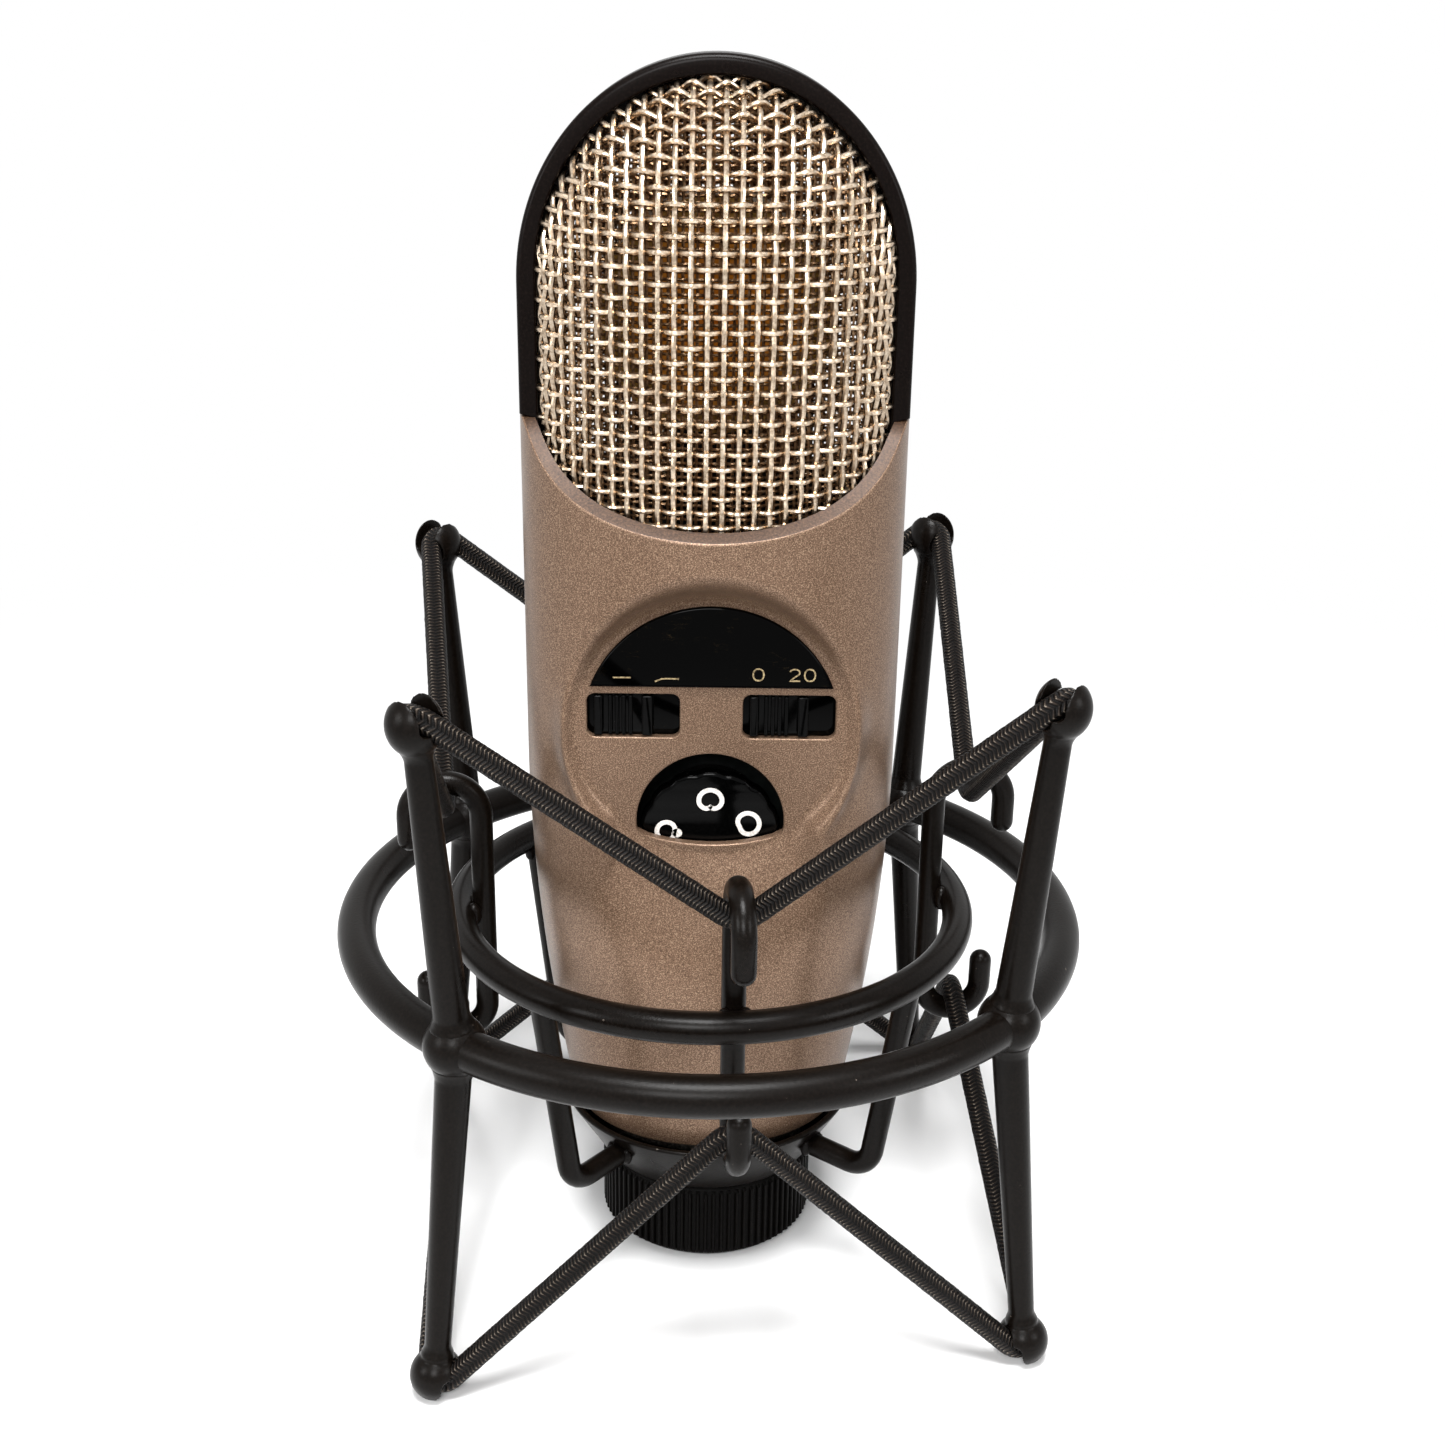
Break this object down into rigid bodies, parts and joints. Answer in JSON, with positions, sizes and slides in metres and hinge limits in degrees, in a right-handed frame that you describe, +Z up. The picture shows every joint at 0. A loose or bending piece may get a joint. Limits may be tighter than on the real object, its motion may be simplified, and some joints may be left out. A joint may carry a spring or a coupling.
{
  "type": "condenser microphone",
  "caption": "Side-address studio microphone with wire grille head and round control recess, hung in an elastic spider mount with a swivel stand adapter.",
  "frame": {"origin": "centre of the whole object's footprint, on the surface its four ball feet stand on", "axes": "+Z up along the microphone, which looks along -Y; +X is to the right of someone facing its control side"},
  "size_m": [0.118, 0.1376, 0.1864],
  "materials": {
    "mount_black": "satin black powder coat",
    "elastic": "black braided elastic cord",
    "felt": "black felt",
    "black_plastic": "fine grained black",
    "gloss_black": "gloss black",
    "champagne": "satin champagne bronze, fine speckle",
    "band_black": "black satin",
    "cloth": "nickel champagne wire cloth",
    "brass": "turned brass",
    "gold_film": "gold sputtered film",
    "steel": "bright steel",
    "board": "green circuit board"
  },
  "bodies": {
    "mount_frame": {"outer_ring": "mount_black", "stand_lug": "mount_black", "upper_elastic": "elastic", "lower_elastic": "elastic", "post_front_right": "mount_black", "post_rear_right": "mount_black", "post_rear_left": "mount_black", "post_front_left": "mount_black", "leg_front_right": "mount_black", "leg_rear_right": "mount_black", "leg_rear_left": "mount_black", "leg_front_left": "mount_black"},
    "stand_adapter": {"adapter_knuckle": "mount_black", "thread_insert": "brass", "swivel_nut": "steel"},
    "tension_screw": {"swivel_bolt": "steel", "tension_knob": "black_plastic"},
    "cage": {"inner_ring": "mount_black", "base_cup": "mount_black", "cup_pad": "felt", "hook_front": "mount_black", "hook_right": "mount_black", "hook_rear": "mount_black", "hook_left": "mount_black", "support_front_right": "mount_black", "support_rear_right": "mount_black", "support_rear_left": "mount_black", "support_front_left": "mount_black"},
    "nut_body": {"clamp_nut": "black_plastic"},
    "pattern_dial": {"pattern_knob": "gloss_black"},
    "low_cut": {"low_cut_slider": "gloss_black"},
    "pad": {"pad_slider": "gloss_black"},
    "microphone": {"badge_plate": "gloss_black", "base_collar": "steel", "base_screws": "steel", "board_parts": "black_plastic", "capsule_body": "brass", "capsule_saddle": "black_plastic", "chassis_frame": "steel", "front_clamp_ring": "brass", "front_diaphragm": "gold_film", "front_grille": "cloth", "front_liner": "cloth", "front_shell": "champagne", "head_band": "band_black", "head_deck": "black_plastic", "inlet_insert": "black_plastic", "inlet_pins": "steel", "low_cut_switch": "black_plastic", "main_board": "board", "pad_switch": "black_plastic", "pattern_switch": "black_plastic", "rear_clamp_ring": "brass", "rear_diaphragm": "gold_film", "rear_grille": "cloth", "rear_liner": "cloth", "rear_shell": "champagne", "slot_plate": "black_plastic", "switch_board": "board"}
  },
  "joints": [
    {"name": "adapter_swivel", "type": "hinge", "parent": "mount_frame", "child": "stand_adapter", "pos_m": [-0.00692, 0.05782, 0.056], "axis": [-0.9948, -0.1018, 0], "range_deg": [-105, 15]},
    {"name": "tension_turn", "type": "hinge", "parent": "stand_adapter", "child": "tension_screw", "pos_m": [-0.00692, 0.05782, 0.056], "axis": [-0.9948, -0.1018, 0], "continuous": true},
    {"name": "cage_bob", "type": "slide", "parent": "mount_frame", "child": "cage", "axis": [0, 0, 1], "range_m": [-0.0007, 0.004], "stiffness_N_per_m": 3000, "springref_m": 0.00139, "deforming": ["upper_elastic", "lower_elastic"]},
    {"name": "microphone_turn", "type": "hinge", "parent": "cage", "child": "microphone", "pos_m": [0, -0.00982, 0.02], "axis": [0, 0, 1], "continuous": true},
    {"name": "nut_turn", "type": "hinge", "parent": "microphone", "child": "nut_body", "pos_m": [0, -0.00982, 0.007], "axis": [0, 0, 1], "continuous": true},
    {"name": "pattern_turn", "type": "hinge", "parent": "microphone", "child": "pattern_dial", "pos_m": [0, -0.02182, 0.0739], "axis": [0, -1, 0], "range_deg": [-144, 144]},
    {"name": "low_cut_slide", "type": "slide", "parent": "microphone", "child": "low_cut", "axis": [1, 0, 0], "range_m": [0, 0.0037]},
    {"name": "pad_slide", "type": "slide", "parent": "microphone", "child": "pad", "axis": [1, 0, 0], "range_m": [0, 0.0037]}
  ]
}
